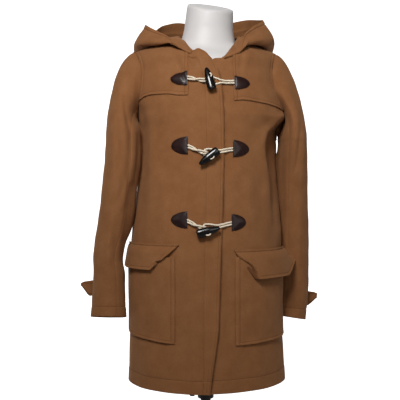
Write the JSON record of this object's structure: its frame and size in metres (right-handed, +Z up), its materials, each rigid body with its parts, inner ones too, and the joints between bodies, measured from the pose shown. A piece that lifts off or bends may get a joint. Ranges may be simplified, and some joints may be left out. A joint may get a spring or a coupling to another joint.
{
  "type": "hooded duffle coat on a limbless dress form with a pole stand",
  "caption": "Hooded wool duffle coat with toggle closures, yokes, flap pockets and cuff straps, filled out on a limbless dress form that stands on a pole with a round base.",
  "frame": {"origin": "middle of the round base's underside, on the floor", "axes": "+Z up, the coat's front faces -Y, +X to the right of someone who faces its front"},
  "size_m": [0.614, 0.3655, 1.2248],
  "materials": {
    "wool": "camel wool melton, milled, short nap",
    "patch_leather": "dark brown smooth leather",
    "horn": "polished near-black horn",
    "cotton_cord": "cream twisted cotton cord",
    "form_shell": "smooth satin white moulded shell",
    "stand_metal": "black powder coat on steel",
    "screw_plastic": "black moulded nylon"
  },
  "bodies": {
    "root": {"front_over": "wool", "front_under": "wool", "back_left": "wool", "back_right": "wool", "yoke_left": "wool", "yoke_right": "wool", "pocket_left": "wool", "pocket_right": "wool", "flap_left": "wool", "flap_right": "wool", "sleeve_upper_left": "wool", "sleeve_under_left": "wool", "sleeve_upper_right": "wool", "sleeve_under_right": "wool", "cuff_strap_left": "wool", "cuff_strap_right": "wool", "hood_left": "wool", "hood_right": "wool", "patch_left_1": "patch_leather", "patch_right_1": "patch_leather", "patch_left_2": "patch_leather", "patch_right_2": "patch_leather", "patch_left_3": "patch_leather", "patch_right_3": "patch_leather", "toggle_1": "horn", "toggle_2": "horn", "toggle_3": "horn", "cord_left_1a": "cotton_cord", "cord_left_1b": "cotton_cord", "cord_right_1": "cotton_cord", "cord_left_2a": "cotton_cord", "cord_left_2b": "cotton_cord", "cord_right_2": "cotton_cord", "cord_left_3a": "cotton_cord", "cord_left_3b": "cotton_cord", "cord_right_3": "cotton_cord", "dress_form": "form_shell", "neck_cap": "form_shell", "stand_base": "stand_metal", "pole": "stand_metal", "form_flange": "stand_metal", "clamp_collar": "stand_metal", "clamp_screw": "screw_plastic"}
  },
  "joints": []
}
